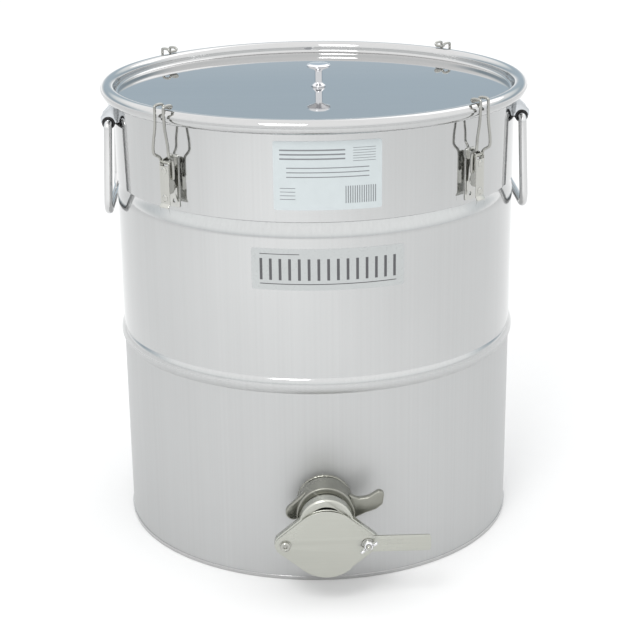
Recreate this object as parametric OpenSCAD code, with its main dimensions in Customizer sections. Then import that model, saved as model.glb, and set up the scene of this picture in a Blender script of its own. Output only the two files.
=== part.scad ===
// Stainless steel honey tank: a drum with a clamped lid, four toggle latches,
// two drop handles and a blade gate near the bottom.
// The origin is the centre of the base, +Z is up and the gate faces -Y.

/* [Drum] */
// Outside diameter of the drum wall
drum_d = 400; // [390:1:410]
// Height of the lid's rolled edge above the floor
rim_z = 457.1; // [455:0.1:460]
// Sheet thickness of the drum
wall_t = 0.8; // [0.6:0.1:1]
// Height of the lower edge of the outward bead
bead_z = 194.8; // [150:0.1:230]
// Height of the bead from edge to edge
bead_h = 16; // [12:1:20]
// How far the bead stands out of the wall
bead_out = 2.8; // [2:0.1:3.2]
// Height of the upper edge of the swaged groove
groove_z = 361.6; // [358:0.1:363]
// Height of the swaged groove
groove_h = 17; // [14:1:20]
// Depth of the swaged groove
groove_in = 4; // [2:0.1:5]

/* [Lid] */
// Sheet thickness of the lid
lid_t = 0.7; // [0.6:0.1:0.8]
// Depth of the flat lid panel below the rolled edge
lid_recess = 11; // [9:0.5:12]
// Diameter of the knob's head
knob_d = 23.6; // [20:0.2:26]
// Height of the knob above the lid panel
knob_h = 23.4; // [20:0.2:26]
// How far the knob sits to the right of the lid's middle
knob_x = 4.9; // [0:0.1:6]

/* [Latches] */
// Angle of the two front latches from the gate
latch_front_az = 43.4; // [38:0.1:48]
// Angle of the two rear latches from the gate
latch_rear_az = 135.1; // [130:0.1:138]
// How far the four latches are turned to the right round the drum
latch_turn = 1.2; // [0:0.1:3]
// Diameter of the bail wire
wire_d = 2.8; // [2.4:0.1:2.8]
// Height of the lever's pivot
lever_pivot_z = 409; // [408:0.5:410]
// Distance from the lever's pivot down to the bail's pivot
bail_drop = 15; // [14:0.5:15.5]
// Height of the lever's lower end
lever_end_z = 367; // [364:1:372]

/* [Handles] */
// Diameter of the handle rod
rod_d = 8.2; // [8:0.1:8.4]
// Distance between the centres of the two legs
leg_gap = 116; // [112:1:120]
// Height of the handle's pivot
handle_pivot_z = 424; // [422:1:426]
// Length of a leg from its pivot to the centre of the grip
leg_len = 89; // [84:1:92]

/* [Gate] */
// Height of the outlet pipe's axis
pipe_z = 86; // [84:1:88]
// Height of the line through the gate's two ears
ear_z = 66.8; // [65:0.1:68]
// Distance of each ear from the middle of the gate
ear_x = 38.6; // [38:0.1:39]
// Distance from the drum's axis to the front of the gate's flange
flange_y = 254.2; // [252:0.1:256]
// Radius of the pipe's bore
bore_r = 19; // [18:0.5:19]
// Distance from the middle of the gate to the end of the blade's handle
blade_end_x = 97; // [90:1:100]

/* [Hidden] */
$fn = 96;
eps = 0.05;

drum_r = drum_d / 2;
inner_r = drum_r - wall_t;

// Rolled edge of the drum
roll_tube = 5.9;
roll_r = inner_r + roll_tube;
roll_z = rim_z - 7.7;
roll_gap_from = 186;
roll_gap_to = 216;

// Bottom pan
pan_z = 8;
hem_z = 4;
hem_t = 0.9;

// Lid section
lid_wall_r = inner_r - 1.2;
lid_in_round = 5.5;
lid_out_round = 6;
lid_out_r = 212.5;
lid_skirt_z = rim_z - 6.5;
panel_z = rim_z - lid_recess;
panel_round = 3;

// Bead and groove
bead_rr = (pow(bead_h / 2, 2) + pow(bead_out, 2)) / (2 * bead_out);
bead_c = drum_r + bead_out - bead_rr;
bead_mid = bead_z + bead_h / 2;
groove_bottom = groove_z - groove_h;
groove_corner = 1.6;

// Latch pivots, measured outwards from the drum wall
lever_rho = 9.5;
bail_rho = 8;
bail_z = lever_pivot_z - bail_drop;
leg_rho = 15.5;
hook_rho = 5;
hook_z = rim_z + wire_d / 2 + 0.5;
hook_bend = 1.6;
arch_rho = (leg_rho - hook_rho) / 2;
arch_up = 1.6;
pin_r = 1.5;
pin_clear = 0.06;
bail_pin_r = wire_d / 2 - 0.1;
ear_half = 4.6;
lever_half = 5.9;
lever_in = 5;
bail_half = 7.8;
LATCH_AZ = [latch_turn - latch_front_az, latch_turn + latch_front_az,
            latch_turn - latch_rear_az, latch_turn + latch_rear_az];

// Handle places, measured from the drum's axis
handle_x = 201.6;
handle_lean = 2.6;
leg_y = leg_gap / 2;
grip_bend = 15;
elbow_bend = 4.6;
bushing_r = 6.3;
bushing_in = leg_y - 26;
bushing_out = leg_y - rod_d / 2 - 0.6;

// Gate along the outlet's axis, as distances from the drum's axis
spigot_end = 224;
gasket_end = 226;
collar_end = 230;
nut_from = 208;
nut_end = 233;
nut_lip = 230.3;
spigot_r = 23.9;
thread_clear = 0.08;
flange_back = flange_y - 8.4;
blade_back = flange_y + 0.3;
blade_t = 2.5;
blade_front = blade_back + blade_t;
ear_r = 9.5;
cover_r = 34;
collar_r = 25.2;
stud_r = 2.5;
slot_half = 3.3;
slot_drift = 1.2;
wing_tilt = 33;

// Labels
label_t = 0.2;
label_az = 1.8;

module at_azimuth(a) { rotate([0, 0, a]) children(); }

// Mirrors a piece drawn at +X, +Y to the side that the two signs name
module flip(x, y) {
  mirror([x < 0 ? 1 : 0, 0, 0]) mirror([0, y < 0 ? 1 : 0, 0]) children();
}

// The space inside the drum wall's outer face
module drum_cut() { cylinder(h = rim_z, r = drum_r, $fn = 720); }

// Puts a cylinder along Y between two distances in front of the drum's axis
module along_y(x, z, from, to, r) {
  translate([x, -from, z]) rotate([90, 0, 0]) cylinder(h = to - from, r = r);
}

// Puts a cylinder across a latch, along its hinge line
module across(rho, z, half, r) {
  translate([-half, -drum_r - rho, z]) rotate([0, 90, 0]) cylinder(h = 2 * half, r = r);
}

// ---------------------------------------------------------------- drum

module ring_sector(r, from, to) {
  polygon([[0, 0], for (a = [from : 5 : to]) r * [cos(a), sin(a)]]);
}

module drum_section() {
  translate([inner_r, 0.9]) square([wall_t, groove_bottom - 0.9]);
  polygon([[drum_r, groove_bottom - eps], [drum_r - groove_in, groove_z - groove_corner],
           [drum_r, groove_z], [inner_r, groove_z],
           [inner_r - groove_in, groove_z - groove_corner], [inner_r, groove_bottom - eps]]);
  translate([inner_r, groove_z - eps]) square([wall_t, roll_z - groove_z + eps]);
  intersection() {
    translate([bead_c, bead_mid]) circle(r = bead_rr);
    translate([drum_r - eps, bead_z]) square([bead_out + 1, bead_h]);
  }
  translate([roll_r, roll_z]) difference() {
    circle(r = roll_tube);
    circle(r = roll_tube - wall_t);
    ring_sector(roll_tube + 1, roll_gap_from, roll_gap_to);
  }
}

module drum_shell() {
  color([0.75, 0.75, 0.75]) difference() {
    rotate_extrude($fn = 180) difference() {
      drum_section();
      translate([bead_c, bead_mid]) circle(r = bead_rr - wall_t);
    }
    along_y(0, pipe_z, drum_r - 20, drum_r + 10, spigot_r + 0.1);
  }
}

module drum_bottom() {
  color([0.62, 0.62, 0.63]) rotate_extrude($fn = 180) {
    translate([0, pan_z]) square([inner_r, wall_t]);
    translate([inner_r - wall_t, 0]) square([wall_t, pan_z + wall_t]);
    translate([inner_r - wall_t, 0]) square([2 * wall_t + hem_t, wall_t]);
    translate([drum_r, 0]) square([hem_t, hem_z]);
  }
}

// ---------------------------------------------------------------- gate

module outlet_spigot() {
  color([0.6, 0.6, 0.6]) difference() {
    union() {
      along_y(0, pipe_z, drum_r - 6, spigot_end, spigot_r);
      along_y(0, pipe_z, drum_r - 8, drum_r + 5, spigot_r + 3);
    }
    along_y(0, pipe_z, drum_r - 20, spigot_end + 1, bore_r);
    difference() {
      drum_cut();
      along_y(0, pipe_z, drum_r - 20, drum_r + 10, spigot_r);
    }
  }
}

module valve_gasket() {
  color([0.85, 0.84, 0.8]) difference() {
    along_y(0, pipe_z, spigot_end, gasket_end, spigot_r - 0.3);
    along_y(0, pipe_z, spigot_end - 1, gasket_end + 1, bore_r);
  }
}

// Outline of the gate: two ears joined by straight edges to a round cover
module gate_outline(grow) {
  translate([0, ear_z]) hull() {
    circle(r = cover_r + grow);
    for (side = [-1, 1]) translate([side * ear_x, 0]) circle(r = ear_r + grow, $fn = 48);
  }
}

module valve_body() {
  color([0.72, 0.72, 0.69]) difference() {
    union() {
      along_y(0, pipe_z, gasket_end, collar_end, spigot_r);
      along_y(0, pipe_z, gasket_end + 1, flange_back + 1, spigot_r - 2);
      along_y(0, pipe_z, flange_back - 5, flange_y, collar_r);
      translate([0, -flange_back, 0]) rotate([90, 0, 0])
        linear_extrude(flange_y - flange_back) gate_outline(0.7);
      for (side = [-1, 1])
        along_y(side * ear_x, ear_z, flange_back - 5, flange_back + 1, 6);
    }
    along_y(0, pipe_z, gasket_end - 1, flange_back + 1, bore_r - 1);
    along_y(0, pipe_z - 10, flange_back - 2, flange_y + 1, bore_r);
    for (side = [-1, 1])
      along_y(side * ear_x, ear_z, flange_back - 6, flange_y + 1, stud_r);
  }
}

module valve_blade() {
  color([0.74, 0.74, 0.7]) difference() {
    translate([0, -blade_back, 0]) rotate([90, 0, 0]) linear_extrude(blade_t) union() {
      gate_outline(0);
      translate([ear_x - 6, ear_z - 8]) square([blade_end_x - ear_x + 6, 16]);
    }
    along_y(-ear_x, ear_z, blade_back - 1, blade_front + 1, stud_r + pin_clear);
    along_y(ear_x, ear_z, blade_back - 1, blade_front + 1, slot_half);
    translate([ear_x - slot_half - slot_drift, -blade_front - 1, ear_z - 2 * ear_r])
      cube([2 * slot_half + slot_drift, blade_t + 2, 2 * ear_r]);
  }
}

module washer(x, from, to, r) {
  difference() {
    along_y(x, ear_z, from, to, r);
    along_y(x, ear_z, from - 1, to + 1, stud_r + pin_clear);
  }
}

module blade_washer() {
  color([0.7, 0.7, 0.66]) washer(-ear_x, blade_front + 0.2, blade_front + 1, 5.5);
}

module pivot_screw() {
  head = blade_front + 1;
  color([0.55, 0.55, 0.52]) difference() {
    union() {
      along_y(-ear_x, ear_z, flange_back - 5, head + 1, stud_r);
      along_y(-ear_x, ear_z, head, head + 2.6, 4.6);
    }
    translate([-ear_x, -head - 1, ear_z]) rotate([90, 30, 0]) cylinder(h = 3, r = 1.8, $fn = 6);
  }
}

module clamp_stud() {
  color([0.6, 0.6, 0.58]) union() {
    along_y(ear_x, ear_z, flange_back - 5, blade_front + 10, stud_r);
    along_y(ear_x, ear_z, flange_back - 8, flange_back - 5, 4.5);
  }
}

module clamp_washer() {
  color([0.78, 0.78, 0.75]) washer(ear_x, blade_front + 0.3, blade_front + 1.3, 6);
}

module wing_nut() {
  from = blade_front + 1.5;
  wing_t = 2.2;
  color([0.85, 0.85, 0.82]) difference() {
    union() {
      along_y(ear_x, ear_z, from, from + 5, 4.8);
      translate([ear_x, -from, ear_z]) rotate([0, -wing_tilt, 0]) for (turn = [0, 180])
        rotate([0, turn, 0]) {
          translate([3, -6, -wing_t / 2]) cube([4.4, 5.4, wing_t]);
          translate([7, -5.8, -wing_t / 2]) cylinder(h = wing_t, r = 3.2);
        }
    }
    along_y(ear_x, ear_z, from - 1, from + 12, stud_r + pin_clear);
  }
}

module ring_nut() {
  wing_mid = (nut_from + nut_end) / 2 + 4;
  color([0.42, 0.42, 0.39]) difference() {
    union() {
      along_y(0, pipe_z, nut_from, nut_end, spigot_r + 3.6);
      translate([0, -wing_mid + 3.5, pipe_z]) rotate([90, 0, 0]) linear_extrude(7) {
        polygon([[20, 16], [31, 13.5], [40, 14.5], [52, 21], [55, 16], [54, 7],
                 [48, 2], [38, -1.5], [28, -6], [16, -6]]);
        translate([51.3, 16.5]) circle(r = 4.4);
        hull() {
          translate([-30, 0.5]) circle(r = 7.6);
          translate([-17, 17]) circle(r = 5);
        }
      }
    }
    along_y(0, pipe_z, nut_from - 1, nut_lip, spigot_r + thread_clear);
    along_y(0, pipe_z, nut_from, nut_end + 1, spigot_r - 2 + thread_clear + 0.2);
  }
}

// ---------------------------------------------------------------- lid

module quarter(cx, cz, r_out, x_side, z_side) {
  translate([cx, cz]) intersection() {
    difference() {
      circle(r = r_out);
      circle(r = r_out - lid_t);
    }
    translate([x_side > 0 ? -eps : -r_out - 1, z_side > 0 ? -eps : -r_out - 1])
      square(r_out + 1 + eps);
  }
}

module lid_panel() {
  in_x = lid_wall_r + lid_in_round;
  out_x = lid_out_r - lid_out_round;
  color([0.66, 0.7, 0.73]) difference() {
    rotate_extrude($fn = 180) {
      translate([0, panel_z - lid_t]) square([lid_wall_r - panel_round, lid_t]);
      quarter(lid_wall_r - panel_round - eps, panel_z + panel_round, panel_round + lid_t, 1, -1);
      translate([lid_wall_r - eps, panel_z + panel_round - eps])
        square([lid_t, rim_z - lid_in_round - panel_z - panel_round + 2 * eps]);
      quarter(in_x, rim_z - lid_in_round, lid_in_round, -1, 1);
      translate([in_x - eps, rim_z - lid_t]) square([out_x - in_x + 2 * eps, lid_t]);
      quarter(out_x, rim_z - lid_out_round, lid_out_round, 1, 1);
      translate([lid_out_r - lid_t, lid_skirt_z])
        square([lid_t, rim_z - lid_out_round - lid_skirt_z + eps]);
    }
    translate([knob_x, 0, panel_z - 5]) cylinder(h = 10, r = 2.5);
  }
}

module lid_gasket() {
  from = roll_z + roll_tube + 0.3;
  color([0.9, 0.9, 0.88]) rotate_extrude($fn = 180)
    translate([lid_wall_r + lid_in_round, from]) square([3, rim_z - lid_t - from]);
}

module lid_knob() {
  head_z = panel_z + knob_h;
  color([0.88, 0.88, 0.9]) translate([knob_x, 0, 0]) difference() {
    union() {
      translate([0, 0, panel_z]) cylinder(h = 2, r = 6.8);
      translate([0, 0, panel_z + 1.9]) cylinder(h = 2, r1 = 5.6, r2 = 4);
      translate([0, 0, panel_z + 3]) cylinder(h = knob_h - 5, r = 3.9);
      translate([0, 0, head_z - 6.4]) cylinder(h = 2.5, r1 = 3.9, r2 = knob_d / 2 - 1.6);
      translate([0, 0, head_z - 3.4]) cylinder(h = 2.4, r = knob_d / 2);
      translate([0, 0, head_z - 4]) cylinder(h = 0.7, r1 = knob_d / 2 - 1.7, r2 = knob_d / 2);
      translate([0, 0, head_z - 1.1]) cylinder(h = 1.1, r1 = knob_d / 2, r2 = knob_d / 2 - 2.2);
    }
    translate([0, 0, panel_z - 1]) cylinder(h = 12, r = 2.5);
  }
}

module knob_washer() {
  color([0.7, 0.7, 0.7]) translate([knob_x, 0, panel_z - lid_t - 1]) difference() {
    cylinder(h = 1, r = 6);
    translate([0, 0, -1]) cylinder(h = 3, r = 2.55);
  }
}

module knob_screw() {
  head_top = panel_z - lid_t - 1;
  color([0.6, 0.6, 0.6]) translate([knob_x, 0, 0]) union() {
    translate([0, 0, head_top - 3]) cylinder(h = 3, r = 4.4, $fn = 6);
    translate([0, 0, head_top - 0.5]) cylinder(h = 12, r = 2.5);
  }
}

// ---------------------------------------------------------------- latches

module latch_plate(i) {
  color([0.56, 0.56, 0.53]) at_azimuth(LATCH_AZ[i]) difference() {
    union() {
      translate([-7, -drum_r - 1, lever_end_z - 2]) cube([14, 2, 50]);
      for (side = [-1, 1]) translate([side > 0 ? ear_half - 0.9 : -ear_half, 0, 0]) {
        translate([0, -drum_r - lever_rho, lever_pivot_z - 2.2]) cube([0.9, lever_rho + 1, 4.2]);
        translate([0, -drum_r - lever_rho, lever_pivot_z]) rotate([0, 90, 0])
          cylinder(h = 0.9, r = 2.2);
      }
    }
    drum_cut();
    across(lever_rho, lever_pivot_z, lever_half + 1, pin_r);
  }
}

module latch_pin(i) {
  color([0.6, 0.6, 0.58]) at_azimuth(LATCH_AZ[i])
    across(lever_rho, lever_pivot_z, lever_half + 0.25, pin_r);
}

module latch_lever(i) {
  web_rho = lever_rho + 3.4;
  lip_r = 3;
  color([0.66, 0.66, 0.62]) at_azimuth(LATCH_AZ[i]) difference() {
    union() {
      translate([-lever_half, -drum_r - web_rho, lever_end_z + lip_r])
        cube([2 * lever_half, 0.9, lever_pivot_z - lever_end_z - lip_r - 1.5]);
      for (side = [-1, 1]) translate([side > 0 ? lever_in : -lever_half, -drum_r, 0]) {
        translate([0, -web_rho, bail_z - 14])
          cube([lever_half - lever_in, web_rho - 5.6, 14.5]);
        translate([0, -web_rho, bail_z - 1])
          cube([lever_half - lever_in, web_rho - 6.4, bail_drop]);
        translate([0, -lever_rho, lever_pivot_z]) rotate([0, 90, 0])
          cylinder(h = lever_half - lever_in, r = 3.3);
      }
      translate([-lever_half, -drum_r - web_rho - lip_r + 0.9, lever_end_z + lip_r]) rotate([0, 90, 0])
        difference() {
          cylinder(h = 2 * lever_half, r = lip_r);
          translate([0, 0, -1]) cylinder(h = 2 * lever_half + 2, r = lip_r - 0.9);
          translate([-2 * lip_r, -lip_r - 1, -1])
            cube([2 * lip_r, 2 * lip_r + 2, 2 * lever_half + 2]);
          translate([0, -lip_r - 1, -1]) cube([lip_r + 1, lip_r, 2 * lever_half + 2]);
        }
    }
    across(lever_rho, lever_pivot_z, lever_half + 1, pin_r + pin_clear);
    across(bail_rho, bail_z, lever_half + 1, bail_pin_r + pin_clear);
  }
}

// Half of the bail wire's centre line, as [across, outwards, up], from the
// middle of the hook to the pivot; the hook's arch is a half circle.
BAIL_HALF = [
  [0, hook_rho, hook_z],
  for (a = [0 : 30 : 90])
    [3.2 + hook_bend * sin(a), hook_rho, hook_z + hook_bend * (1 - cos(a))],
  for (a = [150 : -30 : 0])
    [5.6, hook_rho + arch_rho * (1 + cos(a)), hook_z + hook_bend + arch_up * sin(a)],
  [5.7, leg_rho, 452], [6.2, leg_rho, 443], [7.8, leg_rho, 434], [9.4, leg_rho, 426],
  [9.8, leg_rho, 419], [9.6, 14.4, 416.2], [9, 11.9, 414.4], [8.2, 9.6, 412.6],
  [bail_half, 8.4, 409.6], [bail_half, bail_rho, 404],
  [bail_half, bail_rho, bail_z - wire_d / 2]
];
function mirrored(p) = [-p.x, p.y, p.z];
BAIL_PATH = [
  for (i = [len(BAIL_HALF) - 1 : -1 : 1]) mirrored(BAIL_HALF[i]),
  for (p = BAIL_HALF) p
];

// Sweeps a round wire along a list of points
function unit(v) = v / norm(v);
function tangent(path, i) =
  unit(path[min(i + 1, len(path) - 1)] - path[max(i - 1, 0)]);
function carry(normal, t) = unit(normal - (normal * t) * t);
function frames(path, i = 0, normal = [0.1, 0.3, 1]) =
  i >= len(path) ? [] :
  let (n = carry(normal, tangent(path, i))) concat([n], frames(path, i + 1, n));
function wire_ring(path, i, n, r, sides) =
  let (b = cross(tangent(path, i), n))
  [for (turn = [0 : 360 / sides : 359.9]) path[i] + r * (cos(turn) * n + sin(turn) * b)];
module wire_sweep(path, r, sides) {
  normals = frames(path);
  points = [for (i = [0 : len(path) - 1]) each wire_ring(path, i, normals[i], r, sides)];
  last = len(path) - 1;
  faces = concat(
    [[for (k = [0 : sides - 1]) k]],
    [[for (k = [0 : sides - 1]) last * sides + sides - 1 - k]],
    [for (i = [0 : last - 1]) for (k = [0 : sides - 1])
      [i * sides + k, (i + 1) * sides + k,
       (i + 1) * sides + (k + 1) % sides, i * sides + (k + 1) % sides]]);
  polyhedron(points = points, faces = faces, convexity = 6);
}

module latch_bail(i) {
  tip = 4.7;
  color([0.8, 0.8, 0.76]) at_azimuth(LATCH_AZ[i]) union() {
    wire_sweep([for (p = BAIL_PATH) [p.x, -drum_r - p.y, p.z]], wire_d / 2, 10);
    for (turn = [0, 1]) mirror([turn, 0, 0])
      translate([tip, -drum_r - bail_rho, bail_z]) rotate([0, 90, 0])
        cylinder(h = bail_half - tip, r = bail_pin_r);
  }
}

// ---------------------------------------------------------------- handles

// side is -1 for the left handle and +1 for the right; end is -1 for the front
module hood_section(shrink) {
  lip_x = handle_x + bushing_r + 1.4 - shrink;
  foot_z = handle_pivot_z + (shrink > 0 ? -2 : 0.5);
  polygon([[drum_r - 12, handle_pivot_z + 18], [drum_r - 1 - shrink, handle_pivot_z + 17 - shrink],
           [lip_x, handle_pivot_z + 6.6 - shrink], [lip_x, foot_z], [drum_r - 12, foot_z]]);
}

module handle_hood(side, end) {
  color([0.68, 0.71, 0.73]) flip(side, end) difference() {
    translate([0, bushing_out, 0]) rotate([90, 0, 0])
      linear_extrude(bushing_out - bushing_in + 3) hood_section(0);
    translate([0, bushing_out - 1, 0]) rotate([90, 0, 0])
      linear_extrude(bushing_out - bushing_in) hood_section(1.2);
    drum_cut();
    translate([handle_x, bushing_in, handle_pivot_z]) rotate([-90, 0, 0])
      cylinder(h = 60, r = bushing_r);
  }
}

module handle_bushing(side, end) {
  color([0.05, 0.05, 0.06]) flip(side, end) difference() {
    translate([handle_x, bushing_in, handle_pivot_z]) rotate([-90, 0, 0])
      cylinder(h = bushing_out - bushing_in, r = bushing_r);
    translate([handle_x, bushing_in + 2, handle_pivot_z]) rotate([-90, 0, 0])
      cylinder(h = 60, r = rod_d / 2 + 0.08);
    drum_cut();
  }
}

// A quarter turn of rod in the YZ plane, from +Y up to +Z
module quarter_bend(r) {
  rotate([90, 0, 90]) rotate_extrude(angle = 90) translate([r, 0]) circle(d = rod_d);
}

module handle_bail(side) {
  stub = bushing_in + 2.6;
  color([0.78, 0.78, 0.78]) flip(side, 1)
    translate([handle_x, 0, handle_pivot_z]) rotate([0, -handle_lean, 0]) union() {
      for (end = [-1, 1]) flip(1, end) {
        translate([0, stub, 0]) rotate([-90, 0, 0])
          cylinder(h = leg_y - elbow_bend - stub, d = rod_d);
        translate([0, leg_y - elbow_bend, -elbow_bend]) quarter_bend(elbow_bend);
        translate([0, leg_y, -leg_len + grip_bend])
          cylinder(h = leg_len - grip_bend - elbow_bend, d = rod_d);
        translate([0, leg_y - grip_bend, -leg_len + grip_bend]) mirror([0, 0, 1])
          quarter_bend(grip_bend);
      }
      translate([0, -leg_y + grip_bend, -leg_len]) rotate([-90, 0, 0])
        cylinder(h = leg_gap - 2 * grip_bend, d = rod_d);
    }
}

// ---------------------------------------------------------------- labels

module label(half_angle, z_low, z_high) {
  at_azimuth(label_az - 90 - half_angle) rotate_extrude(angle = 2 * half_angle, $fn = 180)
    translate([drum_r, z_low]) square([label_t, z_high - z_low]);
}

module front_label() { color([0.93, 0.93, 0.92]) label(20.6, 297, 336.5); }
module data_label() { color([0.95, 0.95, 0.94]) label(14.2, 373, 436.5); }

drum_shell();
drum_bottom();
outlet_spigot();
valve_gasket();
valve_body();
valve_blade();
blade_washer();
pivot_screw();
clamp_stud();
clamp_washer();
wing_nut();
ring_nut();
lid_panel();
lid_gasket();
lid_knob();
knob_washer();
knob_screw();
latch_plate(0);  // latch_plate_fl
latch_plate(1);  // latch_plate_fr
latch_plate(2);  // latch_plate_bl
latch_plate(3);  // latch_plate_br
latch_pin(0);  // latch_pin_fl
latch_pin(1);  // latch_pin_fr
latch_pin(2);  // latch_pin_bl
latch_pin(3);  // latch_pin_br
latch_lever(0);  // latch_lever_fl
latch_lever(1);  // latch_lever_fr
latch_lever(2);  // latch_lever_bl
latch_lever(3);  // latch_lever_br
latch_bail(0);  // latch_bail_fl
latch_bail(1);  // latch_bail_fr
latch_bail(2);  // latch_bail_bl
latch_bail(3);  // latch_bail_br
handle_hood(-1, -1);  // handle_hood_lf
handle_hood(-1, 1);  // handle_hood_lb
handle_hood(1, -1);  // handle_hood_rf
handle_hood(1, 1);  // handle_hood_rb
handle_bushing(-1, -1);  // handle_bushing_lf
handle_bushing(-1, 1);  // handle_bushing_lb
handle_bushing(1, -1);  // handle_bushing_rf
handle_bushing(1, 1);  // handle_bushing_rb
handle_bail(-1);  // handle_bail_left
handle_bail(1);  // handle_bail_right
front_label();
data_label();
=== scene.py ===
"""Looks for a stainless honey tank: drum, clamped lid, latches, drop handles and a blade gate.

Sizes are millimetres in the CAD model's frame until a mesh is made, and metres after that.
"""
import math

import bmesh
import bpy
from mathutils import Matrix, Vector


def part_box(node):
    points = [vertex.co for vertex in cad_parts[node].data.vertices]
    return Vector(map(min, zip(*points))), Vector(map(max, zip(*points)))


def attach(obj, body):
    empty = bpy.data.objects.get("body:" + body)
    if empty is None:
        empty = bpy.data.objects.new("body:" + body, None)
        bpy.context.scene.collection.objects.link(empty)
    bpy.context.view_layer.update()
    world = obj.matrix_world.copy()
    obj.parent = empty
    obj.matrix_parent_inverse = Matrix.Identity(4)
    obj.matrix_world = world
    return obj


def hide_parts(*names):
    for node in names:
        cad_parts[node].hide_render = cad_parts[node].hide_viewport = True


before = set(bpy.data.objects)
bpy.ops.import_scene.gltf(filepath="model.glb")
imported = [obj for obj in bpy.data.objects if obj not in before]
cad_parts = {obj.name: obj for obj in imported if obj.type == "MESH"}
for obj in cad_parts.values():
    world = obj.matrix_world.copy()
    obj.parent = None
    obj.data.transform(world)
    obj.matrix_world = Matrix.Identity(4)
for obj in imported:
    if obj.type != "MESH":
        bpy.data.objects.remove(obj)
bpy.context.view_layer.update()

MM = 0.001


def edge(node, axis, high=True):
    """The highest or lowest coordinate of a CAD node along an axis, in millimetres."""
    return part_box(node)[1 if high else 0][axis] / MM


# ---------------------------------------------------------------- driving sizes
DRUM_R = edge("front_label", 1, False) * -1 - 0.2
WALL = 0.8
INNER_R = DRUM_R - WALL
RIM_Z = edge("lid_panel", 2)
PANEL_Z = RIM_Z - 11
LID_R = edge("lid_panel", 0)
LID_T = 0.7
SKIRT_Z = RIM_Z - 6.5
ROLL_TUBE = 5.9
ROLL_R = INNER_R + ROLL_TUBE
ROLL_Z = RIM_Z - 7.7
BEAD_Z = 194.8
BEAD_H = 16.0
BEAD_OUT = 2.8
GROOVE_TOP = 361.6
GROOVE_H = 17.0
GROOVE_IN = 4.0
KNOB_X = (edge("lid_knob", 0) + edge("lid_knob", 0, False)) / 2
KNOB_H = edge("lid_knob", 2) - PANEL_Z
PIPE_Z = (edge("outlet_spigot", 2) + edge("outlet_spigot", 2, False)) / 2
EAR_Z = (edge("blade_washer", 2) + edge("blade_washer", 2, False)) / 2
EAR_X = edge("clamp_washer", 0) - 6
FLANGE_Y = -edge("valve_body", 1, False)
FLANGE_T = 8.4
BLADE_BACK = -edge("valve_blade", 1)
BLADE_FRONT = -edge("valve_blade", 1, False)
BLADE_END = edge("valve_blade", 0)
LATCHES = {"fl": -42.2, "fr": 44.6, "bl": -133.9, "br": 136.3}
LEVER_PIVOT = Vector((0, 9.5, 409))
HANDLE_X = 201.6
HANDLE_Z = 424.0
LEG_Y = 58.0
LEG_LEN = 89.0
ROD_R = 4.1
HANDLE_LEAN = 2.6


# ---------------------------------------------------------------- 2-D outlines
def arc(cx, cy, r, start, end, steps=12):
    """Points along a circular arc, from one angle to another in degrees."""
    angles = [math.radians(start + (end - start) * i / steps) for i in range(steps + 1)]
    return [(cx + r * math.cos(a), cy + r * math.sin(a)) for a in angles]


def rounded(corners, closed=True, steps=6):
    """An outline whose corners (x, y, radius) are turned into arcs."""
    out = []
    count = len(corners)
    for i, (x, y, r) in enumerate(corners):
        at_end = not closed and i in (0, count - 1)
        if r <= 0 or at_end:
            out.append((x, y))
            continue
        here = Vector((x, y))
        before = (Vector(corners[i - 1][:2]) - here).normalized()
        after = (Vector(corners[(i + 1) % count][:2]) - here).normalized()
        half = before.angle(after) / 2
        centre = here + (before + after).normalized() * (r / math.sin(half))
        first = here + before * (r / math.tan(half)) - centre
        last = here + after * (r / math.tan(half)) - centre
        turn = first.angle_signed(last)
        for k in range(steps + 1):
            spoke = first.copy()
            spoke.rotate(Matrix.Rotation(-turn * k / steps, 2))
            out.append(tuple(centre + spoke))
    return out


def held(points, closed=True, gap=0.6, longest=8.0):
    """Adds a point near both ends of each long side, so that a flat side shades flat."""
    out = []
    count = len(points)
    for i, p in enumerate(points):
        out.append(p)
        if not closed and i == count - 1:
            break
        a = Vector(p)
        b = Vector(points[(i + 1) % count])
        if (b - a).length > longest:
            step = (b - a).normalized() * gap
            out.append(tuple(a + step))
            out.append(tuple(b - step))
    return out


def strip(path, thickness):
    """The closed outline of a bent sheet: an open path, thickened to its left."""
    points = [Vector(p) for p in path]
    offset = []
    for i, p in enumerate(points):
        back = (p - points[max(i - 1, 0)]).normalized()
        ahead = (points[min(i + 1, len(points) - 1)] - p).normalized()
        along = (back + ahead).normalized()
        left = Vector((-along.y, along.x))
        lean = max(0.3, left.dot(Vector((-ahead.y, ahead.x)))) if ahead.length else 1
        offset.append(p + left * thickness / lean)
    return [tuple(p) for p in points] + [tuple(p) for p in reversed(offset)]


def box_outline(x0, y0, x1, y1, r):
    """A rectangle with round corners."""
    return rounded([(x0, y0, r), (x1, y0, r), (x1, y1, r), (x0, y1, r)])


# ---------------------------------------------------------------- meshes
def finish_mesh(name, bm, place=None, sharp=38):
    """Makes a mesh object in metres from a bmesh in millimetres."""
    if place is not None:
        bmesh.ops.transform(bm, matrix=place, verts=bm.verts)
    bmesh.ops.scale(bm, vec=(MM, MM, MM), verts=bm.verts)
    bmesh.ops.remove_doubles(bm, verts=bm.verts, dist=1e-7)
    bmesh.ops.recalc_face_normals(bm, faces=bm.faces)
    mesh = bpy.data.meshes.new(name)
    bm.to_mesh(mesh)
    bm.free()
    mesh.shade_smooth()
    mesh.set_sharp_from_angle(angle=math.radians(sharp))
    obj = bpy.data.objects.new(name, mesh)
    bpy.context.scene.collection.objects.link(obj)
    return obj


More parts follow.
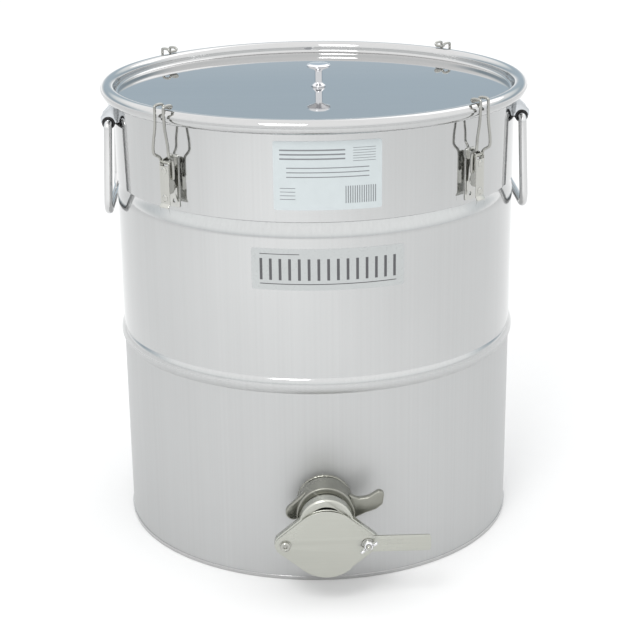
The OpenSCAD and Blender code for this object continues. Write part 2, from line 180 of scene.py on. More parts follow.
def revolve_into(bm, profile, steps):
    """Turns a closed profile of (radius, height) round the Z axis."""
    rings = []
    for x, z in profile:
        if x < 1e-6:
            rings.append([bm.verts.new((0, 0, z))])
            continue
        angles = [2 * math.pi * k / steps for k in range(steps)]
        rings.append([bm.verts.new((x * math.cos(a), x * math.sin(a), z)) for a in angles])
    for i, ring in enumerate(rings):
        after = rings[(i + 1) % len(rings)]
        for k in range(steps):
            j = (k + 1) % steps
            if len(ring) > 1 and len(after) > 1:
                bm.faces.new((ring[k], ring[j], after[j], after[k]))
            elif len(after) > 1:
                bm.faces.new((ring[0], after[j], after[k]))
            elif len(ring) > 1:
                bm.faces.new((ring[k], ring[j], after[0]))


def turned_into(bm, profile, steps, place):
    """Adds a turned shape at its own place."""
    part = bmesh.new()
    revolve_into(part, profile, steps)
    bmesh.ops.transform(part, matrix=place, verts=part.verts)
    mesh = bpy.data.meshes.new("turned")
    part.to_mesh(mesh)
    part.free()
    bm.from_mesh(mesh)
    bpy.data.meshes.remove(mesh)


def revolve(name, profile, steps=96, place=None, sharp=38):
    """A turned piece of its own."""
    bm = bmesh.new()
    revolve_into(bm, held(profile), steps)
    return finish_mesh(name, bm, place, sharp)


def plate_into(bm, outlines, thickness, bevel, place):
    """Adds a flat plate with rounded edges. The first outline is its rim, the rest are holes."""
    curve = bpy.data.curves.new("outline", "CURVE")
    curve.dimensions = "2D"
    curve.fill_mode = "BOTH"
    curve.extrude = thickness / 2 - bevel
    curve.bevel_depth = bevel
    curve.bevel_resolution = 2
    curve.offset = -bevel
    for outline in outlines:
        line = curve.splines.new("POLY")
        line.points.add(len(outline) - 1)
        for point, (x, y) in zip(line.points, outline):
            point.co = (x, y, 0, 1)
        line.use_cyclic_u = True
    holder = bpy.data.objects.new("outline", curve)
    mesh = bpy.data.meshes.new_from_object(holder)
    mesh.transform(place)
    bm.from_mesh(mesh)
    bpy.data.objects.remove(holder)
    bpy.data.curves.remove(curve)
    bpy.data.meshes.remove(mesh)


def frames_along(path):
    """A tangent and two normals at each point of a path, carried along without twist."""
    normal = Vector((0.1, 0.3, 1))
    out = []
    for i in range(len(path)):
        t = (path[min(i + 1, len(path) - 1)] - path[max(i - 1, 0)]).normalized()
        normal = (normal - t * normal.dot(t)).normalized()
        out.append((t, normal, t.cross(normal)))
    return out


def sweep_into(bm, path, radius, sides=16, cap=0.5):
    """A round wire along a path of points, with ends rounded over by cap times its radius."""
    frames = frames_along(path)
    stations = []
    for k in (0, 1, 2):
        a = math.radians(30 * k)
        stations.append((0, -cap * radius * math.cos(a), radius * (0.25 + 0.75 * math.sin(a))))
    stations += [(i, 0, radius) for i in range(len(path))]
    for k in (2, 1, 0):
        a = math.radians(30 * k)
        stations.append((-1, cap * radius * math.cos(a), radius * (0.25 + 0.75 * math.sin(a))))
    rings = []
    for i, shift, r in stations:
        t, n, b = frames[i]
        middle = path[i] + t * shift
        turns = [2 * math.pi * k / sides for k in range(sides)]
        rings.append([bm.verts.new(middle + r * (math.cos(a) * n + math.sin(a) * b)) for a in turns])
    for ring, after in zip(rings, rings[1:]):
        for k in range(sides):
            j = (k + 1) % sides
            bm.faces.new((ring[k], ring[j], after[j], after[k]))
    bm.faces.new(rings[0])
    bm.faces.new(rings[-1])


def smooth_path(points, steps=6):
    """A smooth curve through points (Catmull-Rom)."""
    ends = [points[0] * 2 - points[1]] + points + [points[-1] * 2 - points[-2]]
    out = []
    for a, b, c, d in zip(ends, ends[1:], ends[2:], ends[3:]):
        for k in range(steps):
            t = k / steps
            out.append(0.5 * (2 * b + (c - a) * t + (2 * a - 5 * b + 4 * c - d) * t * t
                              + (3 * b - a - 3 * c + d) * t ** 3))
    return out + [points[-1]]


def bent_path(points, radii, steps=10):
    """Straight runs in space joined by circular bends."""
    out = [points[0]]
    for before, here, after, r in zip(points, points[1:], points[2:], radii):
        a = (before - here).normalized()
        b = (after - here).normalized()
        half = a.angle(b) / 2
        centre = here + (a + b).normalized() * (r / math.sin(half))
        first = here + a * (r / math.tan(half)) - centre
        last = here + b * (r / math.tan(half)) - centre
        out += [centre + r * first.slerp(last, k / steps) for k in range(steps + 1)]
    return out + [points[-1]]


ALONG_Y = Matrix.Rotation(math.radians(90), 4, "X")


def gate_place(x, z, depth=0):
    """Turns a piece drawn along Z so that it points out of the gate, from a distance on."""
    return Matrix.Translation((x, -depth, z)) @ ALONG_Y


def latch_place(azimuth):
    """Turns a latch drawn at the gate's azimuth to its own place; +Y is outwards there."""
    inwards = Matrix.Translation((0, -DRUM_R, 0)) @ Matrix.Scale(-1, 4, (0, 1, 0))
    return Matrix.Rotation(math.radians(azimuth), 4, "Z") @ inwards


def across(x0, centre):
    """Turns a piece drawn along Z so that it lies across a latch, from x0 on."""
    return Matrix.Translation((x0, centre.y, centre.z)) @ Matrix.Rotation(math.radians(90), 4, "Y")


# Local X of the outline runs outwards, local Y runs up and the thickness runs across
SIDEWAYS = Matrix(((0, 0, 1, 0), (1, 0, 0, 0), (0, 1, 0, 0), (0, 0, 0, 1)))


# ---------------------------------------------------------------- materials
class Recipe:
    """A small helper that adds nodes to one material and links them."""

    def __init__(self, name):
        self.material = bpy.data.materials.new(name)
        self.material.use_nodes = True
        self.tree = self.material.node_tree
        self.shader = self.tree.nodes["Principled BSDF"]
        self.place = self.node("ShaderNodeTexCoord").outputs["Object"]

    def node(self, kind, **values):
        made = self.tree.nodes.new(kind)
        for key, value in values.items():
            setattr(made, key, value)
        return made

    def link(self, source, target):
        self.tree.links.new(source, target)

    def noise(self, scale, detail=3.0, stretch=(1, 1, 1), rough=0.5):
        """Noise in object space, stretched along the axes where stretch is small."""
        mapping = self.node("ShaderNodeMapping")
        mapping.inputs["Scale"].default_value = stretch
        self.link(self.place, mapping.inputs["Vector"])
        texture = self.node("ShaderNodeTexNoise")
        texture.inputs["Scale"].default_value = scale
        texture.inputs["Detail"].default_value = detail
        texture.inputs["Roughness"].default_value = rough
        self.link(mapping.outputs["Vector"], texture.inputs["Vector"])
        return texture.outputs["Fac"]

    def ramp(self, source, low, high, start=0.3, end=0.7):
        """Maps a factor to a colour or a grey between two values."""
        ramp = self.node("ShaderNodeValToRGB")
        for element, place, value in zip(ramp.color_ramp.elements, (start, end), (low, high)):
            element.position = place
            colour = value if hasattr(value, "__len__") else (value, value, value)
            element.color = (*colour, 1)
        self.link(source, ramp.inputs["Fac"])
        return ramp.outputs["Color"]

    def mix(self, factor, first, second, mode="MIX"):
        """Mixes two colours, or two factors."""
        mixer = self.node("ShaderNodeMix", data_type="RGBA", blend_type=mode)
        for socket, value in ((mixer.inputs[0], factor), (mixer.inputs[6], first), (mixer.inputs[7], second)):
            if isinstance(value, bpy.types.NodeSocket):
                self.link(value, socket)
            elif hasattr(value, "__len__"):
                socket.default_value = (*value, 1)
            else:
                socket.default_value = value
        return mixer.outputs[2]

    def bump(self, *layers):
        """Stacks bump layers of (height, strength, distance in metres)."""
        normal = None
        for height, strength, distance in layers:
            bump = self.node("ShaderNodeBump")
            bump.inputs["Strength"].default_value = strength
            bump.inputs["Distance"].default_value = distance
            self.link(height, bump.inputs["Height"])
            if normal is not None:
                self.link(normal, bump.inputs["Normal"])
            normal = bump.outputs["Normal"]
        self.link(normal, self.shader.inputs["Normal"])

    def set(self, **values):
        """Sets or links the shader's own sockets."""
        for key, value in values.items():
            socket = self.shader.inputs[key.replace("_", " ")]
            if isinstance(value, bpy.types.NodeSocket):
                self.link(value, socket)
            elif hasattr(value, "__len__"):
                socket.default_value = (*value, 1)
            else:
                socket.default_value = value


def shade(colour, factor):
    return tuple(c * factor for c in colour)


def steel(name, colour, rough, grain=(1, 1, 1), grain_scale=900, waves=0.0, marks=0.25, cast=0.0,
          dull=None):
    """Stainless steel. The grain is drawn out along the axes where it is small; waves bend
    reflections as thin sheet does, marks are rubbed patches, and cast adds a pebbled skin.
    Dull is a (height, roughness) below which the sheet was ground instead of polished."""
    r = Recipe(name)
    lines = r.noise(grain_scale, 2, grain, 0.6)
    rubbed = r.noise(26, 5, (1, 1, 0.6))
    smears = r.noise(6, 3)
    toned = r.ramp(lines, shade(colour, 0.95), shade(colour, 1.03))
    patchy = r.ramp(smears, shade(colour, 0.96), shade(colour, 1.02), 0.35, 0.65)
    r.set(Base_Color=r.mix(0.5, toned, patchy), Metallic=1.0)
    fine = r.ramp(lines, rough * 0.8, rough * 1.25)
    worn = r.ramp(rubbed, rough * (1 - marks), rough * (1 + 2 * marks), 0.35, 0.75)
    roughness = r.mix(0.5, fine, worn)
    if dull:
        height, ground = dull
        split = r.node("ShaderNodeSeparateXYZ")
        r.link(r.place, split.inputs["Vector"])
        polished = r.ramp(split.outputs["Z"], 0.0, 1.0, height - 0.004, height + 0.004)
        roughness = r.mix(polished, r.ramp(smears, ground * 0.94, ground * 1.08), roughness)
    r.set(Roughness=roughness)
    layers = [(lines, 0.2, 0.000004)]
    if waves:
        layers.append((r.noise(5, 1, (1, 1, 0.5)), waves, 0.004))
    if cast:
        layers.append((r.noise(700, 3), cast, 0.0001))
    r.bump(*layers)
    return r.material


def rubber(name, colour, rough, grit):
    """Moulded rubber or plastic with a fine skin and dust in its hollows."""
    r = Recipe(name)
    dust = r.noise(60, 6)
    r.set(Base_Color=r.ramp(dust, colour, tuple(c * 1.2 + 0.01 for c in colour), 0.45, 0.8))
    r.set(Roughness=r.ramp(r.noise(300, 3), rough * 0.85, min(1, rough * 1.2)))
    r.shader.inputs["Specular IOR Level"].default_value = 0.4
    r.bump((r.noise(1500, 3), grit, 0.00005))
    return r.material


def film(name, colour, rough):
    """Printed label film: faint fibres, yellowing and a satin face."""
    r = Recipe(name)
    r.set(Base_Color=r.ramp(r.noise(90, 4), shade(colour, 0.965), colour, 0.3, 0.7))
    r.set(Roughness=r.ramp(r.noise(400, 2), rough * 0.85, rough * 1.2))
    r.bump((r.noise(500, 2), 0.15, 0.00002))
    return r.material


def studio_floor(name, white):
    r = Recipe(name)
    r.set(Base_Color=r.ramp(r.noise(2, 2), shade(white, 0.99), white))
    r.set(Roughness=r.ramp(r.noise(40, 3), 0.7, 0.85))
    return r.material


UPRIGHT = (1, 1, 0.004)
LEVEL = (0.004, 1, 1)
MATS = {
    "drum": steel("drum_sheet", (0.515, 0.52, 0.52), 0.085, UPRIGHT, 420, 0.05, 0.3, 0.0, (0.203, 0.48)),
    "lid": steel("lid_sheet", (0.53, 0.53, 0.53), 0.03, LEVEL, 420, 0.02, 0.3),
    "rim": steel("pan_sheet", (0.5, 0.5, 0.5), 0.14, UPRIGHT, 420),
    "knob": steel("polished_chrome", (0.72, 0.72, 0.74), 0.05, (1, 1, 1), 300, 0, 0.5),
    "latch": steel("pressed_steel", (0.5, 0.5, 0.47), 0.13, (1, 1, 0.02), 900, 0.03, 0.4),
    "welded": steel("welded_plate", (0.52, 0.52, 0.5), 0.12, UPRIGHT, 420, 0.02, 0.3),
    "wire": steel("drawn_wire", (0.36, 0.36, 0.34), 0.12, (1, 1, 1), 700, 0, 0.4),
    "hood": steel("hood_sheet", (0.55, 0.57, 0.59), 0.18, (1, 0.02, 1), 900, 0.03, 0.4),
    "rod": steel("bright_rod", (0.62, 0.62, 0.62), 0.11, (1, 1, 0.02), 800, 0, 0.4),
    "gate": steel("satin_cast", (0.455, 0.46, 0.42), 0.3, (0.02, 1, 1), 700, 0, 0.3, 0.1),
    "nut": steel("dark_cast", (0.27, 0.27, 0.24), 0.32, (1, 1, 1), 300, 0, 0.4, 0.35),
    "screw": steel("turned_steel", (0.42, 0.42, 0.39), 0.15, (1, 1, 1), 500, 0, 0.4),
    "black": rubber("black_plastic", (0.012, 0.012, 0.013), 0.42, 0.3),
    "silicone": rubber("white_silicone", (0.7, 0.7, 0.67), 0.5, 0.2),
    "film": film("label_film", (0.4, 0.415, 0.415), 0.3),
    "paper": film("label_paper", (0.47, 0.51, 0.52), 0.4),
    "ink": film("grey_ink", (0.07, 0.07, 0.075), 0.35),
    "pale_ink": film("pale_ink", (0.17, 0.18, 0.19), 0.35),
    "floor": studio_floor("studio_floor", (0.75, 0.75, 0.75)),
}


def dress(obj, look, body, slot=None, *nodes):
    """Gives a piece its material and its body, and hides the CAD nodes that it stands for. The slot is not
    used.
    """
    obj.data.materials.clear()
    obj.data.materials.append(MATS[look])
    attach(obj, body)
    if nodes:
        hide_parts(*nodes)
    return obj


def dress_node(node, look):
    """Gives a CAD node that stays its material."""
    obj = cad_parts[node]
    obj.data.materials.clear()
    obj.data.materials.append(MATS[look])


# ---------------------------------------------------------------- drum
def cut(obj, cutter, overlapping=False):
    """Cuts one object out of another and removes the cutter."""
    modifier = obj.modifiers.new("cut", "BOOLEAN")
    modifier.operation = "DIFFERENCE"
    modifier.solver = "EXACT"
    modifier.object = cutter
    modifier.use_self = overlapping
    bpy.context.view_layer.update()
    graph = bpy.context.evaluated_depsgraph_get()
    made = bpy.data.meshes.new_from_object(obj.evaluated_get(graph))
    obj.modifiers.clear()
    obj.data = made
    bpy.data.objects.remove(cutter)


def true_wall_normals(obj, radii):
    """Points the normals of the drum's straight walls straight away from its axis."""
    mesh = obj.data
    normals = [Vector(n.vector) for n in mesh.corner_normals]
    for face in mesh.polygons:
        if abs(face.normal.z) > 0.01:
            continue
        for corner in face.loop_indices:
            at = mesh.vertices[mesh.loops[corner].vertex_index].co
            out = Vector((at.x, at.y, 0))
            on_wall = any(abs(out.length - r * MM) < 2e-5 for r in radii)
            out.normalize()
            facing = face.normal.dot(out)
            if on_wall and abs(facing) > 0.99:
                normals[corner] = out if facing > 0 else -out
    mesh.normals_split_custom_set(normals)


def bead_arc(shrink, steps=14):
    """The outward bead as an arc from its lower to its upper edge."""
    radius = ((BEAD_H / 2) ** 2 + BEAD_OUT ** 2) / (2 * BEAD_OUT)
    middle_r = DRUM_R + BEAD_OUT - radius
    half = math.degrees(math.asin(BEAD_H / 2 / radius))
    return arc(middle_r - shrink, BEAD_Z + BEAD_H / 2, radius, -half, half, steps)


def groove(radius, steps=18):
    """The pressed groove from its lower to its upper edge: a slow swell in, then a short step out."""
    low = GROOVE_TOP - GROOVE_H
    turn = GROOVE_TOP - 1.6
    points = []
    for k in range(steps + 1):
        t = k / steps
        depth = GROOVE_IN * (0.55 * t * t + 0.45 * (1 - math.cos(math.pi * t)) / 2)
        points.append((radius - depth, low + (turn - low) * t))
    step_out = [(*points[-1], 0), (radius - GROOVE_IN, turn + 0.3, 0.5), (radius, GROOVE_TOP, 0.8),
                (radius, GROOVE_TOP + 3, 0)]
    return points + rounded(step_out, closed=False)[1:]


def drum():
    """The wall with its bead, groove and rim roll, and the pan that closes its foot."""
    outside = [(DRUM_R, 0.9), *bead_arc(0)]
    outside += [(DRUM_R, BEAD_Z + BEAD_H + 1), *groove(DRUM_R), (DRUM_R, ROLL_Z - 3)]
    roll = arc(ROLL_R, ROLL_Z, ROLL_TUBE, 212, 540, 40)
    inside = [(INNER_R, ROLL_Z - 3), *reversed(groove(INNER_R)), (INNER_R, BEAD_Z + BEAD_H + 1)]
    inside += list(reversed(bead_arc(WALL)))
    profile = outside + roll + inside + [(INNER_R, 0.9)]
    near_outlet = [(DRUM_R, PIPE_Z - 40), (DRUM_R, PIPE_Z + 40)]
    profile[1:1] = near_outlet
    shell = revolve("drum_wall", profile, 288)
    hole = revolve("hole", [(0, -40), (23.9, -40), (23.9, 40), (0, 40)], 96,
                   gate_place(0, PIPE_Z, DRUM_R))
    cut(shell, hole)
    true_wall_normals(shell, (DRUM_R, INNER_R))
    dress(shell, "drum", "tank", "drum_steel", "drum_shell")
    base = rounded([(INNER_R - WALL, 0, 0.5), (DRUM_R + 0.9, 0, 0.7), (DRUM_R + 0.9, 4, 0.35),
                    (DRUM_R, 4, 0), (DRUM_R, 0.8, 0), (INNER_R, 0.8, 0), (INNER_R, 8.8, 0.3),
                    (0, 8.8, 0), (0, 8, 0), (INNER_R - WALL, 8, 0.5)], steps=4)
    dress(revolve("drum_base", base, 288), "rim", "tank", "drum_steel", "drum_bottom")


# ---------------------------------------------------------------- lid
def lid():
    """The dished lid with its gasket, and the chromed knob."""
    wall = INNER_R - 1.2
    section = rounded([(2.5, PANEL_Z, 0), (wall, PANEL_Z, 3), (wall, RIM_Z, 6.2),
                       (LID_R, RIM_Z, 6.2), (LID_R, SKIRT_Z, 0.3), (LID_R - LID_T, SKIRT_Z, 0.3),
                       (LID_R - LID_T, RIM_Z - LID_T, 5.5), (wall + LID_T, RIM_Z - LID_T, 5.5),
                       (wall + LID_T, PANEL_Z - LID_T, 3.7), (2.5, PANEL_Z - LID_T, 0)], steps=9)
    panel = revolve("lid_sheet", section, 288)
    dress(panel, "lid", "lid", "lid_steel", "lid_panel")
    dress_node("lid_gasket", "silicone")
    head = KNOB_H
    knob = rounded([(2.5, 0, 0), (6.8, 0, 0.3), (6.8, 1.6, 0.6), (5.2, 2.9, 1.2), (3.9, 4.2, 1.5),
                    (3.9, head - 6.4, 1.6), (10.2, head - 4, 1.5), (11.8, head - 3.3, 0.5),
                    (11.8, head - 1.5, 0.6), (9.4, head - 0.15, 3)], False)
    knob += [(0, head), (0, head - 2), (2.5, head - 12)]
    at_knob = Matrix.Translation((KNOB_X, 0, PANEL_Z))
    dress(revolve("knob", knob, 72, at_knob), "knob", "lid", "knob_chrome", "lid_knob")
    dress_node("knob_washer", "screw")
    dress_node("knob_screw", "screw")


# ---------------------------------------------------------------- latches
BAIL_HALF = [(0, 5, 459), (3.2, 5, 459), (4.1, 5, 459.2), (4.9, 5, 459.8), (5.5, 5.2, 460.6),
             (5.6, 5.7, 461.4), (5.6, 7.6, 462), (5.6, 10.2, 462.2), (5.6, 12.9, 462),
             (5.6, 14.8, 461.4), (5.6, 15.5, 460.2), (5.7, 15.5, 452), (6.2, 15.5, 443),
             (7.8, 15.5, 434), (9.4, 15.5, 426), (9.8, 15.5, 419), (9.6, 14.4, 416.2),
             (9, 11.9, 414.4), (8.2, 9.6, 412.6), (7.8, 8.4, 409.6), (7.8, 8, 404), (7.8, 8, 396.5)]
WIRE_R = 1.4


def latch_bail(tag, place):
    """The wire loop that hooks over the lid, with its two ends bent in as pivots."""
    half = [Vector(p) for p in BAIL_HALF]
    half += [Vector((7.8, 8, 395.2)), Vector((7.2, 8, 394.1)), Vector((6.2, 8, 394)), Vector((4.8, 8, 394))]
    other = [Vector((-p.x, p.y, p.z)) for p in reversed(half)]
    bm = bmesh.new()
    sweep_into(bm, smooth_path(other[:-1] + half, 4), WIRE_R, 14)
    piece = finish_mesh("bail_wire_" + tag, bm, place, 60)
    dress(piece, "wire", "bail_" + tag, "wire_steel", "latch_bail_" + tag)


def latch_lever(tag, place):
    """The pressed lever: a web, two side cheeks that hold the pivots and a curled thumb lip."""
    bm = bmesh.new()
    out = LEVER_PIVOT.y + 3.4
    web = rounded([(out + 1.7, 366.6, 0), (out + 1.9, 367.4, 0.6), (out - 0.45, 370.6, 2.6),
                   (out - 0.45, 405.8, 0)], False)
    plate_into(bm, [strip(web, 0.9)], 11.8, 0.25, SIDEWAYS)
    for side in (-1, 1):
        cheek = rounded([(out - 0.6, 380, 0.5), (5.6, 380.4, 2.5), (5.6, 396, 2.2), (7.6, 398, 1.5),
                         (6.4, 409, 2.9), (9.6, 412.2, 2.9), (out - 0.4, 408.8, 2.2)])
        plate_into(bm, [cheek], 0.9, 0.2, Matrix.Translation((side * 5.45, 0, 0)) @ SIDEWAYS)
    for z in (375.5, 401.5):
        dimple = rounded([(0, -0.3, 0), (3.4, -0.3, 0), (2.2, 0.5, 0.8), (0, 0.7, 0)], False)
        outwards = Matrix.Translation((0, out, z)) @ Matrix.Rotation(math.radians(-90), 4, "X")
        turned_into(bm, dimple, 24, outwards)
    piece = finish_mesh("lever_" + tag, bm, place)
    dress(piece, "latch", "lever_" + tag, "latch_steel", "latch_lever_" + tag)


def latch_plate(tag, place):
    """The base plate, welded flat to the drum, with two ears for the lever's pin."""
    bm = bmesh.new()
    upright = Matrix.Translation((0, 0.45, 0)) @ ALONG_Y
    face = box_outline(-7, 365, 7, 415, 2)
    welds = [arc(0, z, 1.9, 0, 350, 20) for z in (371, 386)]
    plate_into(bm, [face, *welds], 1.1, 0.25, upright)
    for side in (-1, 1):
        ear = rounded([(0.2, 404.5, 1), (8.6, 406.2, 1), (12, 409, 2.3), (8.6, 411.6, 2), (0.2, 413.5, 1)])
        plate_into(bm, [ear], 0.9, 0.2, Matrix.Translation((side * 4.15, 0, 0)) @ SIDEWAYS)
    piece = finish_mesh("latch_base_" + tag, bm, place)
    dress(piece, "welded", "tank", "latch_steel", "latch_plate_" + tag)
    pin = rounded([(0, 0, 0), (1.5, 0, 0.5), (1.5, 12.3, 0.5), (0, 12.3, 0)], False)
    axle = revolve("latch_axle_" + tag, pin, 24, place @ across(-6.15, LEVER_PIVOT))
    dress(axle, "screw", "tank", "wire_steel", "latch_pin_" + tag)


def latches():
    """Four latches round the rim."""
    for tag, azimuth in LATCHES.items():
        place = latch_place(azimuth)
        latch_plate(tag, place)
        latch_lever(tag, place)
        latch_bail(tag, place)


# ---------------------------------------------------------------- handles
def handle_rod(side):
    """The drop handle: one bent rod with both ends in their bushings."""
    name = "left" if side < 0 else "right"
    end = 34.8
    points = [(0, -end, 0), (0, -LEG_Y, 0), (0, -LEG_Y, -LEG_LEN),
              (0, LEG_Y, -LEG_LEN), (0, LEG_Y, 0), (0, end, 0)]
    lean = Matrix.Rotation(math.radians(-side * HANDLE_LEAN), 4, "Y")
    place = Matrix.Translation((side * HANDLE_X, 0, HANDLE_Z)) @ lean
    bm = bmesh.new()
    sweep_into(bm, bent_path([Vector(p) for p in points], (4.6, 15, 15, 4.6), 12), ROD_R, 24, 0.3)
    piece = finish_mesh("handle_rod_" + name, bm, place, 60)
    dress(piece, "rod", "handle_" + name, "handle_steel", "handle_bail_" + name)


def wall_space():
    """The space inside the drum's outer face, beside the handles. It trims what meets the wall."""
    inside = DRUM_R - WALL / 2
    low, high = HANDLE_Z - 40, HANDLE_Z + 21
    return revolve("wall_space", [(0, low), (inside, low), (inside, high), (0, high)], 288)


def handle_mount(side, end):
    """A pressed hood welded to the drum, over a black bushing that holds the rod."""
    tag = ("l" if side < 0 else "r") + ("f" if end < 0 else "b")
    hood = "handle_hood_" + tag
    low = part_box(hood)[0] / MM
    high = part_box(hood)[1] / MM
    flip = Matrix.Scale(-1, 4, (1, 0, 0)) if side < 0 else Matrix.Identity(4)
    foot = DRUM_R - 10
    lip = HANDLE_X + 7.7
    path = rounded([(lip - 0.6, HANDLE_Z + 0.6, 0), (lip - 0.6, HANDLE_Z + 6.4, 2),
                    (DRUM_R - 1.5, HANDLE_Z + 16.4, 2), (foot, HANDLE_Z + 17.2, 0)], False)
    span = high.y - low.y
    bm = bmesh.new()
    across_y = Matrix.Translation((0, (low.y + high.y) / 2, 0)) @ ALONG_Y
    plate_into(bm, [strip(path, 1.2)], span, 0.3, across_y)
    over_bushing = arc(HANDLE_X, HANDLE_Z, 6.35, 176, 4, 30)
    cheek = [(foot, HANDLE_Z + 0.5), *over_bushing]
    cheek += rounded([(*over_bushing[-1], 0), (lip - 0.4, HANDLE_Z + 0.5, 0.3),
                      (lip - 0.4, HANDLE_Z + 6.6, 2), (DRUM_R - 1.5, HANDLE_Z + 16.8, 2),
                      (foot, HANDLE_Z + 17.6, 0)], False)[1:]
    for end_y in (low.y + 0.6, high.y - 0.6):
        plate_into(bm, [cheek], 1.2, 0.25, Matrix.Translation((0, end_y, 0)) @ ALONG_Y)
    piece = finish_mesh("hood_" + tag, bm, flip)
    cut(piece, wall_space(), overlapping=True)
    dress(piece, "hood", "tank", "hood_steel", hood)
    bush_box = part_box("handle_bushing_" + tag)
    ends = sorted((abs(bush_box[0].y) / MM, abs(bush_box[1].y) / MM))
    ring = rounded([(ROD_R + 0.1, 0, 0.3), (6.3, 0, 0.8), (6.3, ends[1] - ends[0] - 0.8, 0.8),
                    (5.8, ends[1] - ends[0], 0.3), (ROD_R + 0.1, ends[1] - ends[0], 0.4)])
    along = Matrix.Translation((side * HANDLE_X, end * ends[0], HANDLE_Z))
    turned = Matrix.Rotation(math.radians(-90 * end), 4, "X")
    bush = revolve("bushing_" + tag, ring, 48, along @ turned)
    cut(bush, wall_space())
    dress(bush, "black", "tank", "bushing_plastic", "handle_bushing_" + tag)


def handles():
    """A drop handle on each side, with a mount at either end."""
    for side in (-1, 1):
        handle_rod(side)
        for end in (-1, 1):
            handle_mount(side, end)


# ---------------------------------------------------------------- gate
def gate_outline(grow):
    """The gate's outline round the line of its ears: a round cover and two ears."""
    big, small = 34 + grow, 9.5 + grow
    lean = math.degrees(math.acos((big - small) / EAR_X))
    points = arc(0, 0, big, lean, 180 - lean, 24)
    points += arc(-EAR_X, 0, small, 180 - lean, 180 + lean, 12)
    points += arc(0, 0, big, 180 + lean, 360 - lean, 24)
    points += arc(EAR_X, 0, small, -lean, lean, 12)
    return points


def circle(x, y, r, steps=40):
    return arc(x, y, r, 0, 360 * (steps - 1) / steps, steps - 1)


def gate_body():
    """The cast body: a pipe with a collar, and a flange that the blade slides on."""
    bm = bmesh.new()
    pipe_end = 226
    depth = FLANGE_Y - pipe_end
    pipe = rounded([(18, 0, 0.4), (23.9, 0, 0.4), (23.9, 4, 0.5), (21.9, 4.3, 0.3),
                    (21.9, depth - 13.5, 1.2), (25.2, depth - 12.5, 1.2), (25.2, depth - 1.5, 0.3),
                    (23.8, depth - 0.05, 0.3), (18, depth - 0.05, 0.3)])
    turned_into(bm, held(pipe), 96, gate_place(0, PIPE_Z, pipe_end))
    holes = [circle(-EAR_X, 0, 2.55), circle(EAR_X, 0, 2.55), circle(0, PIPE_Z - EAR_Z - 10, 17.9, 64)]
    middle = gate_place(0, EAR_Z, FLANGE_Y - FLANGE_T / 2)
    plate_into(bm, [gate_outline(0.7), *holes], FLANGE_T, 1.1, middle)
    for side in (-1, 1):
        boss = rounded([(2.6, 0, 0.2), (6, 0, 0.8), (6, 6, 0.2), (2.6, 6, 0)])
        turned_into(bm, boss, 40, gate_place(side * EAR_X, EAR_Z, FLANGE_Y - FLANGE_T - 5))
    piece = finish_mesh("gate_casting", bm)
    dress(piece, "gate", "tank", "gate_steel", "valve_body")


def blade():
    """The swinging blade, with a slot that clears the clamp stud and a long flat handle."""
    handle = 8.0
    slot = 3.3
    big, small = 34.0, 9.5
    lean = math.degrees(math.acos((big - small) / EAR_X))
    points = arc(0, 0, big, lean, 180 - lean, 32)
    points += arc(-EAR_X, 0, small, 180 - lean, 180 + lean, 16)
    points += arc(0, 0, big, 180 + lean, 360 - lean, 32)
    points += [(EAR_X - slot - 1.2, -small - 0.4), (EAR_X - slot - 0.3, -2)]
    points += arc(EAR_X, 0, slot, 190, -10, 14)
    points += [(EAR_X + slot, -handle)]
    points += [(BLADE_END - 2.5, -handle), (BLADE_END - 0.7, -handle + 0.7), (BLADE_END, -handle + 2.5)]
    points += [(BLADE_END, handle - 2.5), (BLADE_END - 0.7, handle - 0.7), (BLADE_END - 2.5, handle)]
    start = EAR_X + math.sqrt(small ** 2 - handle ** 2)
    points += [(start + 1.5, handle)]
    points += arc(EAR_X, 0, small, math.degrees(math.asin(handle / small)), lean, 8)
    bm = bmesh.new()
    thickness = BLADE_FRONT - BLADE_BACK
    middle = gate_place(0, EAR_Z, BLADE_BACK + thickness / 2)
    plate_into(bm, [points, circle(-EAR_X, 0, 2.6)], thickness, 0.35, middle)
    piece = finish_mesh("gate_blade", bm)
    dress(piece, "gate", "blade", "gate_steel", "valve_blade")


def ring_nut():
    """The union nut, with one long and one short wing to turn it by."""
    low = -edge("ring_nut", 1)
    high = -edge("ring_nut", 1, False)
    depth = high - low
    bore = 24.0
    band = rounded([(bore, 0, 0.4), (27.5, 0, 1), (27.5, depth, 1.6), (22.2, depth, 0.4),
                    (22.2, depth - 2.6, 0.3), (bore, depth - 2.8, 0.2)])
    bm = bmesh.new()
    turned_into(bm, held(band), 96, gate_place(0, PIPE_Z, low))
    wing = rounded([(22, 17.5, 1), (31, 13.5, 5), (40, 14.5, 9), (50.5, 21.2, 3.6), (55.6, 18.5, 3.4),
                    (54, 7, 4), (48, 2, 5), (38, -1.5, 6), (29, -6, 3), (24.5, -7, 0.5)])
    middle = (low + high) / 2 + 4
    plate_into(bm, [wing], 7, 1.6, gate_place(0, PIPE_Z, middle))
    lobe = arc(-30, 0.5, 7.6, 136, 300, 16) + arc(0, 0, 25, 193, 134, 12) + arc(-18.9, 18.9, 1.6, -45, 136, 8)
    plate_into(bm, [lobe], 7, 1.6, gate_place(0, PIPE_Z, middle))
    piece = finish_mesh("union_nut", bm)
    dress(piece, "nut", "ring_nut", "nut_steel", "ring_nut")


